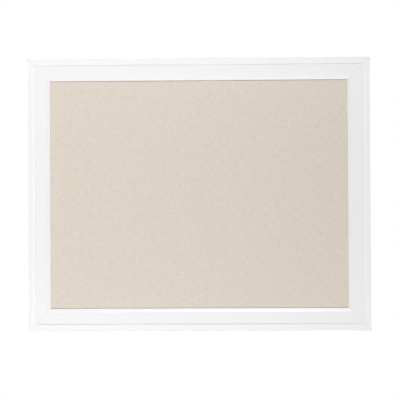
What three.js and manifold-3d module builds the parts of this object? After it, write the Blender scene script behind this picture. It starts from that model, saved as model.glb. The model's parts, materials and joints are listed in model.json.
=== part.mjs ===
// A framed linen memo board for a wall. Four mitred moulding rails hold a linen-covered pin panel
// and a backing board in their rabbet, and two ring hangers on the back carry it.
// Units are millimetres: X runs across the board, Z is up and the front faces -Y.

import * as THREE from "three";
import { mergeVertices } from "three/addons/utils/BufferGeometryUtils.js";
import Module from "manifold-3d";

const wasm = await Module();
wasm.setup();

// Whole board
const boardWidth = 749;
const boardHeight = 597;

// Fits: the gap at every seat, and the play of the panel in the rabbet on each side
const seatGap = 0.3;
const panelPlay = 1;

// Moulding section: widths run in from the outer edge, depths run forward from the back plane
const mouldingWidth = 49;
const mouldingDepth = 20;
const outerEdgeRadius = 1;
const outerBandWidth = 16;
const outerBandDrop = 3.6;
const stepEdgeRadius = 0.4;
const lipWidth = 8;
const lipDrop = 3.9;
const lipNoseRadius = 0.6;
const sightEdgeThickness = 1.8;
const rabbetWidth = 9;

// Sheets in the rabbet, front to back
const linenThickness = 0.6;
const linenHemWidth = 28;
const linenFieldInset = 1.5;
const hemSlitWidth = 0.8;
const pinPanelThickness = 6;
const backingThickness = 2.5;

// Framing points that hold the backing board
const framingPointWidth = 8;
const framingPointLength = 15;
const framingPointBite = 6;
const framingPointTip = 2.5;
const framingPointThickness = 0.5;
const framingPointsLong = 4;
const framingPointsShort = 3;

// Corner nails, V-shaped strips driven across each mitre from the back
const cornerNailWing = 7;
const cornerNailThickness = 0.6;
const cornerNailDepth = 10;
const cornerNailOuterPlace = 12;
const cornerNailInnerPlace = 28;

// Ring hangers on the back of the two stiles
const hangerInset = 20;
const hangerDrop = 150;
const ringWireRadius = 1.2;
const ringHalfWidth = 8.8;
const ringCornerRadius = 2.4;
const strapThickness = 0.8;
const strapLeafGap = 0.15;
const strapWidth = 9.5;
const strapLength = 24;
const strapScrewPlace = 18;
const screwHeadRadius = 3.6;
const screwHeadHeight = 2.2;
const screwShankRadius = 1.7;
const screwLength = 13;
const screwTipLength = 3.5;
const screwRecessLength = 4.2;
const screwRecessWidth = 0.9;
const screwRecessDepth = 1.1;

// Wall bumpers on the back of the bottom rail
const bumperRadius = 5.5;
const bumperHeight = 5;
const bumperEdgeRadius = 1.2;
const bumperFromSide = 60;
const bumperFromBottom = 20;

// Facets
const sectionSegments = 6;
const ringSegments = 56;
const wireSides = 12;
const roundSides = 28;

// Places that several pieces share
const rabbetWall = mouldingWidth - rabbetWidth;
const shelfDepth = mouldingDepth - lipDrop - sightEdgeThickness;
const rabbetLong = boardWidth - 2 * rabbetWall;
const rabbetShort = boardHeight - 2 * rabbetWall;
const sightLong = boardWidth - 2 * mouldingWidth;
const sightShort = boardHeight - 2 * mouldingWidth;
const linenLong = rabbetLong - 2 * panelPlay;
const linenShort = rabbetShort - 2 * panelPlay;
const linenFront = shelfDepth - seatGap;
const panelFront = linenFront - linenThickness - seatGap;
const hemFront = panelFront - pinPanelThickness - seatGap;
const backingFront = hemFront - linenThickness - seatGap;
const framingPointFront = backingFront - backingThickness - seatGap;
const strapHoleRadius = screwShankRadius + seatGap;
const eyeInnerRadius = ringWireRadius + seatGap;
const eyeOuterRadius = eyeInnerRadius + strapThickness;
const pivotStandoff = seatGap + eyeOuterRadius;
const strapTop = seatGap + 2 * strapThickness + strapLeafGap;
const ringReach = ringCornerRadius + ringHalfWidth;
const ringLean = Math.asin((pivotStandoff - ringWireRadius - seatGap) / ringReach);
const hangerHeight = boardHeight / 2 - hangerDrop;
const bumperReach = seatGap + bumperHeight;

// Finishes
const paint = new THREE.MeshStandardMaterial({ color: 0xf4f2f3, roughness: 0.38, metalness: 0 });
const linen = new THREE.MeshStandardMaterial({ color: 0xdfd5c6, roughness: 0.95, metalness: 0 });
const softboard = new THREE.MeshStandardMaterial({ color: 0xa98a63, roughness: 0.95, metalness: 0 });
const hardboard = new THREE.MeshStandardMaterial({ color: 0x8a6743, roughness: 0.75, metalness: 0 });
const zinc = new THREE.MeshStandardMaterial({ color: 0xb9bbbd, roughness: 0.35, metalness: 1 });
const rubber = new THREE.MeshStandardMaterial({ color: 0x3a3a3b, roughness: 0.8, metalness: 0 });

// Axes used to lay a drawn outline into place
const RIGHT = new THREE.Vector3(1, 0, 0);
const LEFT = new THREE.Vector3(-1, 0, 0);
const BACK = new THREE.Vector3(0, 1, 0);
const FRONT = new THREE.Vector3(0, -1, 0);
const UP = new THREE.Vector3(0, 0, 1);
const DOWN = new THREE.Vector3(0, 0, -1);

// A closed geometry as a solid that can be cut or joined
function toSolid(geometry) {
  const bare = geometry.clone();
  bare.deleteAttribute("normal");
  bare.deleteAttribute("uv");
  const merged = mergeVertices(bare);
  const vertProperties = new Float32Array(merged.attributes.position.array);
  const triVerts = new Uint32Array(merged.index.array);
  return new wasm.Manifold(new wasm.Mesh({ numProp: 3, vertProperties, triVerts }));
}

// A solid back as a flat-shaded geometry
function toGeometry(solid) {
  const { vertProperties, triVerts } = solid.getMesh();
  const shared = new THREE.BufferGeometry();
  shared.setAttribute("position", new THREE.BufferAttribute(vertProperties, 3));
  shared.setIndex(new THREE.BufferAttribute(triVerts, 1));
  const flat = shared.toNonIndexed();
  flat.computeVertexNormals();
  return flat;
}

function cut(geometry, cutters) {
  let solid = toSolid(geometry);
  for (const cutter of cutters) {
    solid = solid.subtract(toSolid(cutter));
  }
  return toGeometry(solid);
}

// An outline extruded by a depth, with its x, y and extrusion laid along three axes
function extrude(shape, depth, xAxis, yAxis, zAxis) {
  const options = { depth, bevelEnabled: false, curveSegments: sectionSegments };
  const geometry = new THREE.ExtrudeGeometry(shape, options);
  return geometry.applyMatrix4(new THREE.Matrix4().makeBasis(xAxis, yAxis, zAxis));
}

// A box given by its size and its centre
function box(size, centre) {
  return new THREE.BoxGeometry(...size).translate(...centre);
}

function piece(name, geometry, material) {
  const mesh = new THREE.Mesh(geometry, material);
  mesh.name = name;
  return mesh;
}

// Moulding section: x runs in from the outer edge, y runs forward from the back plane. A step rises from
// the flat outer band to the main face, and a lip slopes down to the sight edge.
function mouldingSection() {
  const bandFace = mouldingDepth - outerBandDrop;
  const stepTop = outerBandWidth + stepEdgeRadius;
  const lipStart = mouldingWidth - lipWidth;
  const lipEdge = mouldingDepth - lipDrop;
  const noseShare = lipNoseRadius / Math.hypot(lipWidth, lipDrop);
  const section = new THREE.Shape();
  section.moveTo(0, 0);
  section.lineTo(rabbetWall, 0);
  section.lineTo(rabbetWall, shelfDepth);
  section.lineTo(mouldingWidth, shelfDepth);
  section.lineTo(mouldingWidth, lipEdge - lipNoseRadius);
  section.quadraticCurveTo(
    mouldingWidth,
    lipEdge,
    mouldingWidth - lipWidth * noseShare,
    lipEdge + lipDrop * noseShare,
  );
  section.lineTo(lipStart, mouldingDepth);
  section.lineTo(stepTop, mouldingDepth);
  section.absarc(
    stepTop,
    mouldingDepth - stepEdgeRadius,
    stepEdgeRadius,
    Math.PI / 2,
    Math.PI,
    false,
  );
  section.lineTo(outerBandWidth, bandFace);
  section.lineTo(outerEdgeRadius, bandFace);
  section.absarc(
    outerEdgeRadius,
    bandFace - outerEdgeRadius,
    outerEdgeRadius,
    Math.PI / 2,
    Math.PI,
    false,
  );
  section.closePath();
  return section;
}

// A rail of the moulding, mitred by drawing each end back by the distance in from the outer edge.
// It lies along X with its outer edge at z = 0.
function mitredRail(length) {
  const mitreGap = seatGap / 2;
  const options = { depth: length, bevelEnabled: false, curveSegments: sectionSegments };
  const geometry = new THREE.ExtrudeGeometry(mouldingSection(), options);
  const position = geometry.attributes.position;
  for (let i = 0; i < position.count; i += 1) {
    const drawnBack = position.getX(i) + mitreGap;
    const atFarEnd = position.getZ(i) > length / 2;
    position.setZ(i, atFarEnd ? length / 2 - drawnBack : drawnBack - length / 2);
  }
  return geometry.applyMatrix4(new THREE.Matrix4().makeBasis(DOWN, FRONT, LEFT));
}

// Corner nail outline: two wings from an apex on the mitre, along the two rails, grown by a margin.
// Both axes run in from the outer corner.
function cornerNailOutline(place, margin) {
  const low = place - margin;
  const bend = place + cornerNailThickness + margin;
  const end = place + cornerNailWing + margin;
  const outline = new THREE.Shape();
  outline.moveTo(low, low);
  outline.lineTo(end, low);
  outline.lineTo(end, bend);
  outline.lineTo(bend, bend);
  outline.lineTo(bend, end);
  outline.lineTo(low, end);
  outline.closePath();
  return outline;
}

// Corner nail solid, with the outer corner of the frame at the origin and the wood below and to the right
function cornerNail(place, margin, backEnd) {
  const depth = cornerNailDepth + 2 * margin;
  const geometry = extrude(cornerNailOutline(place, margin), depth, RIGHT, DOWN, BACK);
  return geometry.translate(0, backEnd - depth, 0);
}

// Framing point outline: x runs in from the rabbet wall over the backing board, y along the rail
function framingPointOutline(margin) {
  const half = framingPointWidth / 2 + margin;
  const tip = framingPointBite + margin;
  const outline = new THREE.Shape();
  outline.moveTo(framingPointLength - framingPointBite, -half);
  outline.lineTo(framingPointLength - framingPointBite, half);
  outline.lineTo(framingPointTip - tip, half);
  outline.lineTo(-tip, 0);
  outline.lineTo(framingPointTip - tip, -half);
  outline.closePath();
  return outline;
}

// Framing point solid in a rail's frame, at a distance along the rail
function framingPoint(along, margin) {
  const thickness = framingPointThickness + 2 * margin;
  const geometry = extrude(framingPointOutline(margin), thickness, DOWN, RIGHT, FRONT);
  return geometry.translate(along, margin - framingPointFront + framingPointThickness, -rabbetWall);
}

function framingPointPlaces(length, count) {
  const pitch = (length - 2 * rabbetWall) / count;
  return Array.from({ length: count }, (_, i) => (i - (count - 1) / 2) * pitch);
}

// Pilot hole for a hanger screw, in a stile's frame
function pilotHole(along) {
  const depth = screwLength - strapTop;
  const hole = new THREE.CylinderGeometry(strapHoleRadius, strapHoleRadius, 2 * depth, roundSides);
  return hole.translate(along, 0, -hangerInset);
}

// One side of the frame in a turned group: its rail and the framing points driven into its rabbet
function frameSide({ rail, pointName, length, outward, turn, pointCount, screwAlong }) {
  const places = framingPointPlaces(length, pointCount);
  const cutters = places.map((along) => framingPoint(along, seatGap));
  for (const place of [cornerNailOuterPlace, cornerNailInnerPlace]) {
    const pocket = cornerNail(place, seatGap, seatGap);
    cutters.push(pocket.clone().translate(-length / 2, 0, 0));
    cutters.push(pocket.clone().rotateY(Math.PI / 2).translate(length / 2, 0, 0));
  }
  if (screwAlong !== undefined) {
    cutters.push(pilotHole(screwAlong));
  }
  const side = new THREE.Group();
  side.add(piece(rail, cut(mitredRail(length), cutters), paint));
  places.forEach((along, i) => {
    side.add(piece(`${pointName}_${i + 1}`, framingPoint(along, 0), zinc));
  });
  side.position.copy(outward);
  side.rotation.y = turn;
  return side;
}

function frameSides() {
  const halfWidth = boardWidth / 2;
  const halfHeight = boardHeight / 2;
  const screwHeight = hangerHeight - strapScrewPlace;
  return [
    {
      rail: "top_rail",
      pointName: "framing_point_top",
      length: boardWidth,
      outward: new THREE.Vector3(0, 0, halfHeight),
      turn: 0,
      pointCount: framingPointsLong,
    },
    {
      rail: "right_stile",
      pointName: "framing_point_right",
      length: boardHeight,
      outward: new THREE.Vector3(halfWidth, 0, 0),
      turn: Math.PI / 2,
      pointCount: framingPointsShort,
      screwAlong: -screwHeight,
    },
    {
      rail: "bottom_rail",
      pointName: "framing_point_bottom",
      length: boardWidth,
      outward: new THREE.Vector3(0, 0, -halfHeight),
      turn: Math.PI,
      pointCount: framingPointsLong,
    },
    {
      rail: "left_stile",
      pointName: "framing_point_left",
      length: boardHeight,
      outward: new THREE.Vector3(-halfWidth, 0, 0),
      turn: -Math.PI / 2,
      pointCount: framingPointsShort,
      screwAlong: screwHeight,
    },
  ].map(frameSide);
}

// Two nails at each corner, in a group turned so that the corner's wood lies below and to the right
function cornerNails() {
  const corners = [
    ["top_left", -1, 1, 0],
    ["top_right", 1, 1, Math.PI / 2],
    ["bottom_right", 1, -1, Math.PI],
    ["bottom_left", -1, -1, -Math.PI / 2],
  ];
  return corners.map(([corner, sideX, sideZ, turn]) => {
    const group = new THREE.Group();
    const outer = cornerNail(cornerNailOuterPlace, 0, -seatGap);
    const inner = cornerNail(cornerNailInnerPlace, 0, -seatGap);
    group.add(piece(`corner_nail_${corner}_outer`, outer, zinc));
    group.add(piece(`corner_nail_${corner}_inner`, inner, zinc));
    group.position.set((sideX * boardWidth) / 2, 0, (sideZ * boardHeight) / 2);
    group.rotation.y = turn;
    return group;
  });
}

// Linen sheet drawn over the pin panel: its front, its four turned edges and a hem on the back,
// slit along the mitres. The field that shows within the sight edge is a face of its own.
function linenCover() {
  const wrapDepth = 2 * linenThickness + 2 * seatGap + pinPanelThickness;
  const wall = 2 * linenThickness;
  const fieldLong = sightLong - 2 * linenFieldInset;
  const fieldShort = sightShort - 2 * linenFieldInset;
  const middle = wrapDepth / 2 - linenFront;
  const outside = box([linenLong, wrapDepth, linenShort], [0, middle, 0]);
  const inside = box([linenLong - wall, wrapDepth - wall, linenShort - wall], [0, middle, 0]);
  const hemOpening = box(
    [linenLong - 2 * linenHemWidth, wrapDepth, linenShort - 2 * linenHemWidth],
    [0, wrapDepth - linenFront, 0],
  );
  const fieldWindow = box([fieldLong, 4 * linenThickness, fieldShort], [0, -linenFront, 0]);
  const field = box([fieldLong, linenThickness, fieldShort], [0, linenThickness / 2 - linenFront, 0]);
  const slits = [];
  for (const sideX of [-1, 1]) {
    for (const sideZ of [-1, 1]) {
      const slit = box([hemSlitWidth, wrapDepth, 3 * linenHemWidth], [0, wrapDepth - linenFront, 0]);
      const inner = linenThickness + hemSlitWidth;
      slit.translate(0, 0, -1.5 * linenHemWidth);
      slit.rotateY(Math.atan2(sideX, sideZ));
      slit.translate(sideX * (linenLong / 2 - inner), 0, sideZ * (linenShort / 2 - inner));
      slits.push(slit);
    }
  }
  const wrap = toSolid(cut(outside, [inside, hemOpening, ...slits, fieldWindow]));
  return toGeometry(wrap.add(toSolid(field)));
}

function sheetsInRabbet() {
  const panelLong = linenLong - 2 * (linenThickness + seatGap);
  const panelShort = linenShort - 2 * (linenThickness + seatGap);
  const panelPlace = [0, pinPanelThickness / 2 - panelFront, 0];
  const backingPlace = [0, backingThickness / 2 - backingFront, 0];
  return [
    piece("linen_cover", linenCover(), linen),
    piece("pin_panel", box([panelLong, pinPanelThickness, panelShort], panelPlace), softboard),
    piece("backing_board", box([linenLong, backingThickness, linenShort], backingPlace), hardboard),
  ];
}

// Flat loop of the hanger ring, closed on itself: a straight bar on the pivot, round corners and a
// half-round bow
class RingLoop extends THREE.Curve {
  constructor() {
    super();
    const barEnd = ringHalfWidth - ringCornerRadius;
    this.outline = new THREE.Path();
    this.outline.moveTo(0, 0);
    this.outline.lineTo(barEnd, 0);
    this.outline.absarc(barEnd, ringCornerRadius, ringCornerRadius, -Math.PI / 2, 0, false);
    this.outline.absarc(0, ringCornerRadius, ringHalfWidth, 0, Math.PI, false);
    this.outline.absarc(-barEnd, ringCornerRadius, ringCornerRadius, Math.PI, 1.5 * Math.PI, false);
    this.outline.lineTo(0, 0);
  }

  getPoint(t, target = new THREE.Vector3()) {
    const flat = this.outline.getPoint(t);
    return target.set(flat.x, 0, flat.y);
  }
}

// Side outline of the hanger strap, one steel strip folded round the ring's bar into two leaves.
// x runs up the board and y runs back from the stile, and the pivot is at x = 0.
function strapSideOutline() {
  const lowerTop = seatGap + strapThickness;
  const upperBottom = lowerTop + strapLeafGap;
  const angleAt = (radius, y) => Math.asin((y - pivotStandoff) / radius);
  const outerLeave = Math.PI - angleAt(eyeOuterRadius, strapTop);
  const innerStart = Math.PI - angleAt(eyeInnerRadius, upperBottom);
  const outline = new THREE.Shape();
  outline.moveTo(-strapLength, seatGap);
  outline.lineTo(0, seatGap);
  outline.absarc(0, pivotStandoff, eyeOuterRadius, -Math.PI / 2, outerLeave, false);
  outline.lineTo(-strapLength, strapTop);
  outline.lineTo(-strapLength, upperBottom);
  outline.absarc(0, pivotStandoff, eyeInnerRadius, innerStart, -Math.PI / 2, true);
  outline.lineTo(-strapLength, lowerTop);
  outline.closePath();
  return outline;
}

// Plan outline of the strap: straight sides and a round lower end
function strapPlanOutline() {
  const half = strapWidth / 2;
  const outline = new THREE.Shape();
  outline.moveTo(half, 2 * eyeOuterRadius);
  outline.lineTo(-half, 2 * eyeOuterRadius);
  outline.lineTo(-half, half - strapLength);
  outline.absarc(0, half - strapLength, half, Math.PI, 2 * Math.PI, false);
  outline.closePath();
  return outline;
}

function hangerStrap() {
  const reach = 2 * pivotStandoff;
  const folded = extrude(strapSideOutline(), strapWidth, UP, BACK, LEFT);
  folded.translate(strapWidth / 2, 0, 0);
  const plan = extrude(strapPlanOutline(), reach, RIGHT, UP, FRONT).translate(0, reach, 0);
  const hole = new THREE.CylinderGeometry(strapHoleRadius, strapHoleRadius, 2 * reach, roundSides);
  hole.translate(0, 0, -strapScrewPlace);
  const trimmed = toSolid(folded).intersect(toSolid(plan));
  return toGeometry(trimmed.subtract(toSolid(hole)));
}

// Pan-head screw standing along Y, with the underside of its head at y = 0 and a cross recess
function hangerScrew() {
  const crown = screwHeadHeight / 2;
  const profile = [
    [0, -screwLength],
    [screwShankRadius, screwTipLength - screwLength],
    [screwShankRadius, 0],
    [screwHeadRadius, 0],
    [screwHeadRadius, crown],
    [screwHeadRadius * 0.8, crown + 0.7 * (screwHeadHeight - crown)],
    [screwHeadRadius * 0.45, screwHeadHeight],
    [0, screwHeadHeight],
  ].map(([radius, height]) => new THREE.Vector2(radius, height));
  const body = new THREE.LatheGeometry(profile, roundSides);
  const slotCentre = [0, screwHeadHeight, 0];
  const slotA = box([screwRecessLength, 2 * screwRecessDepth, screwRecessWidth], slotCentre);
  const slotB = box([screwRecessWidth, 2 * screwRecessDepth, screwRecessLength], slotCentre);
  return cut(body, [slotA, slotB]);
}

// A hanger on each stile: strap, ring and screw. Its group stands at the ring's pivot height, and
// the ring stands up as on a hook, leaning back until its bow all but meets the stile.
function hanger(side, sideX) {
  const group = new THREE.Group();
  const ringGeometry = new THREE.TubeGeometry(
    new RingLoop(),
    ringSegments,
    ringWireRadius,
    wireSides,
    true,
  );
  const ring = piece(`${side}_hanger_ring`, ringGeometry, zinc);
  ring.position.y = pivotStandoff;
  ring.rotation.x = ringLean;
  const screw = piece(`${side}_hanger_screw`, hangerScrew(), zinc);
  screw.position.set(0, strapTop + seatGap, -strapScrewPlace);
  group.add(piece(`${side}_hanger_strap`, hangerStrap(), zinc), ring, screw);
  group.position.set(sideX * (boardWidth / 2 - hangerInset), 0, hangerHeight);
  return group;
}

// Round stick-on bumper standing back from the bottom rail, with a flat face for the wall
function wallBumper(side, sideX) {
  const faceRadius = bumperRadius - bumperEdgeRadius;
  const profile = [new THREE.Vector2(0, 0), new THREE.Vector2(bumperRadius, 0)];
  for (let i = 0; i <= sectionSegments; i += 1) {
    const turn = (i / sectionSegments) * (Math.PI / 2);
    const radius = faceRadius + bumperEdgeRadius * Math.cos(turn);
    const height = bumperHeight - bumperEdgeRadius * (1 - Math.sin(turn));
    profile.push(new THREE.Vector2(radius, height));
  }
  profile.push(new THREE.Vector2(0, bumperHeight));
  const bumper = piece(
    `${side}_wall_bumper`,
    new THREE.LatheGeometry(profile, roundSides),
    rubber,
  );
  bumper.position.set(
    sideX * (boardWidth / 2 - bumperFromSide),
    seatGap,
    bumperFromBottom - boardHeight / 2,
  );
  return bumper;
}

// The board, moved so that the centre of its overall box is the origin
const memoBoard = new THREE.Group();
memoBoard.add(...frameSides(), ...cornerNails(), ...sheetsInRabbet());
for (const [side, sideX] of [
  ["left", -1],
  ["right", 1],
]) {
  memoBoard.add(hanger(side, sideX), wallBumper(side, sideX));
}
memoBoard.position.y = (mouldingDepth - bumperReach) / 2;

const part = new THREE.Group();
part.add(memoBoard);

export default part;
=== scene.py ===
"""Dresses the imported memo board: natural linen over a pin panel, held in a white mitred moulding, with a
backing board, framing points, corner nails, ring hangers and wall bumpers behind. Lengths are metres, X runs
across the board, Y back towards the wall and Z up."""

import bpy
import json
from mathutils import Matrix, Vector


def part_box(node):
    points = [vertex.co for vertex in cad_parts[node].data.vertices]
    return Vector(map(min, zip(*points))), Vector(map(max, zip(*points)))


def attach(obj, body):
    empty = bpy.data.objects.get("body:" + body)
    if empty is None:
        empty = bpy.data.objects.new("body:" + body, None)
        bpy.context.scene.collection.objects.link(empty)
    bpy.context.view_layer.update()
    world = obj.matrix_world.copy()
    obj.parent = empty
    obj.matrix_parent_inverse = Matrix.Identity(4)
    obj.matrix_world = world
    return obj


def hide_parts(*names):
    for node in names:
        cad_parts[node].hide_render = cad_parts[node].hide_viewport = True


bl_info = {
    "name": "Linen memo board",
    "version": (1, 0, 0),
    "blender": (4, 5, 0),
    "location": "3D View > Sidebar > Memo Board",
    "description": "Moulding, linen, backing and hanging hardware of a framed linen memo board",
    "category": "Object",
}

import json
import math
from functools import partial

import bmesh
import bpy
import numpy as np
from bpy.props import FloatProperty, FloatVectorProperty, PointerProperty
from bpy.types import Operator, Panel, PropertyGroup
from mathutils import Matrix, Vector

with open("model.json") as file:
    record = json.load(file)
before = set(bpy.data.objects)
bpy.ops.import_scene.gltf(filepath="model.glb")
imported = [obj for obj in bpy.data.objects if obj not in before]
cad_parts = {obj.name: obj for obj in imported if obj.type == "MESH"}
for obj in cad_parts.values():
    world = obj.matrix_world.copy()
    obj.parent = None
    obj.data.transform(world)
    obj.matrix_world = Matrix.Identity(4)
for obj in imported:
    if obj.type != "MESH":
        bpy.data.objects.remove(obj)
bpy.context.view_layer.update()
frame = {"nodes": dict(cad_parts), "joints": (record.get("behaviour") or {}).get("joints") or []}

MM = 0.001
ARC_STEPS = 6  # of a rounded corner
RAIL_STEPS = 25  # along a rail, between its two mitres
HOLD = 0.12 * MM  # a short flat at both ends of every arc, so that smooth shading leaves the flats flat
MERGE = 0.002 * MM  # points closer than this are one point
SEAT_GAP = 0.3 * MM  # between the ring's wire and the strap or the stile
BACK_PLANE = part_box("top_rail")[1].y
SIDES = ("top", "right", "bottom", "left")  # each a quarter turn on from the one before
HANDS = {"left": -1, "right": 1}


# Settings


def linear(hex_code):
    """An sRGB hex colour as linear red, green and blue."""
    coded = np.array([int(hex_code[i : i + 2], 16) for i in (1, 3, 5)]) / 255
    return tuple(np.where(coded <= 0.04045, coded / 12.92, ((coded + 0.055) / 1.055) ** 2.4))


def length(name, description, millimetres):
    return FloatProperty(
        name=name, description=description, default=millimetres * MM, unit="LENGTH", precision=4
    )


def colour(name, description, hex_code):
    return FloatVectorProperty(
        name=name, description=description, default=linear(hex_code), subtype="COLOR", size=3, min=0, max=1
    )


def power(name, description, watts):
    return FloatProperty(name=name, description=description, default=watts, unit="POWER")


def share(name, description, value):
    return FloatProperty(name=name, description=description, default=value, subtype="FACTOR", min=0, max=1)


class MouldingSettings(PropertyGroup):
    """The white moulding: widths run in from the outer edge, depths run forward from the back plane."""

    board_width: length("Board width", "Outside width of the frame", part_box("right_stile")[1].x * 2 / MM)
    board_height: length("Board height", "Outside height of the frame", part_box("top_rail")[1].z * 2 / MM)
    width: length("Moulding width", "From the outer edge to the sight edge", 49)
    depth: length("Moulding depth", "From the back plane to the main face", 20)
    band_width: length("Outer band width", "Flat band along the outer edge", 16)
    band_drop: length("Outer band drop", "How far the band lies behind the main face", 3.6)
    step_edge: length("Step edge", "Rounding of the step from the band to the main face", 0.4)
    outer_edge: length("Outer edge", "Rounding of the frame's outer front edge", 0.5)
    quirk_width: length("Quirk width", "Narrow groove in the band along the foot of the step", 0.7)
    quirk_depth: length("Quirk depth", "How deep the groove is cut into the band", 0.6)
    lip_width: length("Lip width", "Sloping lip along the sight edge", 8)
    lip_drop: length("Lip drop", "How far the lip falls towards the linen", 3.9)
    lip_edge: length("Lip edge", "Rounding of the lip's two long edges", 0.6)
    sight_edge: length("Sight edge", "Thickness of the lip's edge", 1.8)
    rabbet_width: length("Rabbet width", "Ledge behind the lip that holds the sheets", 9)
    back_edge: length("Back edge", "Rounding of the edges towards the back", 0.4)
    seam: length("Mitre seam", "Half of the hairline gap between two mitred rails", 0.04)
    arris: length("Mitre arris", "Rounding of a rail's end at the mitre", 0.3)
    paint: colour("Paint", "Satin white paint", "#F2F0F1")
    wood: colour("Bare wood", "Light wood of the unpainted back", "#D8BE96")
    grain: colour("Wood grain", "Darker late wood in the grain", "#B48E5E")


class LinenSettings(PropertyGroup):
    """The linen cover and what lies behind it."""

    thickness: length("Cloth thickness", "Thickness of the linen", 0.6)
    bend: length("Edge bend", "Bend radius where the cloth turns over the panel's edge", 1.0)
    hem: length("Hem", "Cloth turned over onto the back of the panel", 28)
    slit: length("Hem slit", "Half of the gap between two hems at a corner", 0.5)
    thread: length("Thread pitch", "Distance between two threads of the weave", 0.8)
    flax: colour("Flax", "Main colour of the undyed linen", "#E9DED7")
    straw: colour("Straw", "Yellower yarns of the linen", "#E8DECB")
    pale: colour("Pale slub", "Thick, paler stretches of thread", "#F3EADE")
    dark: colour("Dark slub", "Thin, darker stretches of thread", "#DACEBE")
    fleck: colour("Fleck", "Specks of husk left in the yarn", "#B9A790")
    board_edge: length("Board edge", "Rounding of the backing board's edges", 0.45)
    hardboard: colour("Hardboard", "Brown backing board", "#8B6945")
    fibre: colour("Hardboard fibre", "Darker fibres of the backing board", "#6A4C2F")
    softboard: colour("Softboard", "Pressed fibre of the pin panel", "#B29468")


class HardwareSettings(PropertyGroup):
    """Framing points, corner nails, ring hangers and wall bumpers."""

    point_width: length("Framing point width", "Width of a framing point's blade", 8)
    point_length: length("Framing point length", "Whole length of a framing point", 15)
    point_bite: length("Framing point bite", "Length driven into the wood", 6)
    point_tip: length("Framing point tip", "Length of the sharpened tip", 2.5)
    point_thickness: length("Framing point thickness", "Thickness of a framing point's blade", 0.5)
    nail_wing: length("Corner nail wing", "Length of each wing of a corner nail", 7)
    nail_thickness: length("Corner nail thickness", "Thickness of a corner nail's strip", 0.6)
    nail_outer: length("Outer nail place", "From the corner's outer edges to the outer nail", 12)
    nail_inner: length("Inner nail place", "From the corner's outer edges to the inner nail", 28)
    wire: length("Ring wire radius", "Radius of the ring's wire", 1.2)
    ring_half: length("Ring half width", "Half width of the ring, at the middle of its wire", 8.8)
    ring_corner: length("Ring corner radius", "Bend of the ring beside its straight bar", 2.4)
    strap_thickness: length("Strap thickness", "Thickness of the hanger's strip", 0.8)
    strap_width: length("Strap width", "Width of the hanger's strip", 9.5)
    strap_length: length("Strap length", "From the pivot to the strap's round end", 24)
    strap_hole: length("Strap hole radius", "Radius of the screw hole in the strap", 2)
    screw_place: length("Screw place", "From the pivot down to the screw", 18)
    screw_head: length("Screw head radius", "Radius of the pan head", 3.6)
    screw_shank: length("Screw shank radius", "Radius of the plain shank under the head", 1.75)
    screw_pitch: length("Screw pitch", "Distance between two turns of the wood thread", 1.4)
    bumper_radius: length("Bumper radius", "Radius of a wall bumper", 5.5)
    zinc: colour("Zinc", "Bright zinc plate", "#C6C9CC")
    zinc_cloud: colour("Zinc cloud", "Greyer patches in the zinc plate", "#B4B8BF")
    steel: colour("Spring steel", "Plain rolled steel", "#9A9A9B")
    rubber: colour("Rubber", "Dark grey rubber", "#3B3B3D")


class StageSettings(PropertyGroup):
    """Camera, lamps, surroundings and floor."""

    camera_place: FloatVectorProperty(
        name="Camera place", description="Where the camera stands", default=(0.0396, -2.0, -0.0276),
        subtype="XYZ", unit="LENGTH",
    )
    camera_turn: FloatVectorProperty(
        name="Camera turn", description="Camera pitch, roll and yaw",
        default=[math.radians(a) for a in (0.433, -0.300, -1.066)], subtype="EULER",
    )
    lens: FloatProperty(name="Lens", description="Focal length in millimetres", default=81.91, unit="CAMERA")
    floor_drop: length("Floor", "How far the floor lies below the board's centre", 3400)
    floor_tone: colour("Floor tone", "Pale floor", "#ECECEC")
    floor_glow: share("Floor glow", "How much the floor is lightened", 0.28)
    ambient: share("Ambient", "Light from all round", 0.12)
    ground: share("Ground", "Paleness of the surroundings far below", 0.82)
    upper_lamp: power("Upper lamp", "Power of the lamp above the front", 36.6)
    lower_lamp: power("Lower lamp", "Power of the lamp below the front", 39.4)
    fill: power("Back fill", "Power of the lamp behind", 80.0)
    side_fill: power("Side fill", "Power of the lamps on both sides", 20.0)


class MemoBoardSettings(PropertyGroup):
    """All settings of the memo board."""

    moulding: PointerProperty(type=MouldingSettings)
    linen: PointerProperty(type=LinenSettings)
    hardware: PointerProperty(type=HardwareSettings)
    stage: PointerProperty(type=StageSettings)


# Surfaces


def unit(vectors):
    return vectors / np.linalg.norm(vectors, axis=-1, keepdims=True)


def combine(*coordinates):
    """Points from their coordinates, which are spread out to one common shape."""
    return np.stack(np.broadcast_arrays(*coordinates), -1)


def on_circle(angle):
    """Points of the unit circle: (cos a, sin a)."""
    return combine(np.cos(angle), np.sin(angle))


def full_turn(sides):
    """Angles of a whole turn, with the first repeated at the end."""
    return np.linspace(0, 2 * np.pi, sides + 1)


def looped(line):
    """A closed line with its first point repeated at the end."""
    return np.concatenate([line, line[:1]])


def distance_along(line):
    """Length of the line from its start to each of its points."""
    steps = np.linalg.norm(np.diff(line, axis=0), axis=-1)
    return np.concatenate([[0], np.cumsum(steps)])


def smooth_step(values, low, high):
    """0 below low, 1 above high, and three t squared minus two t cubed between."""
    t = np.clip((values - low) / (high - low), 0, 1)
    return t * t * (3 - 2 * t)


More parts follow.
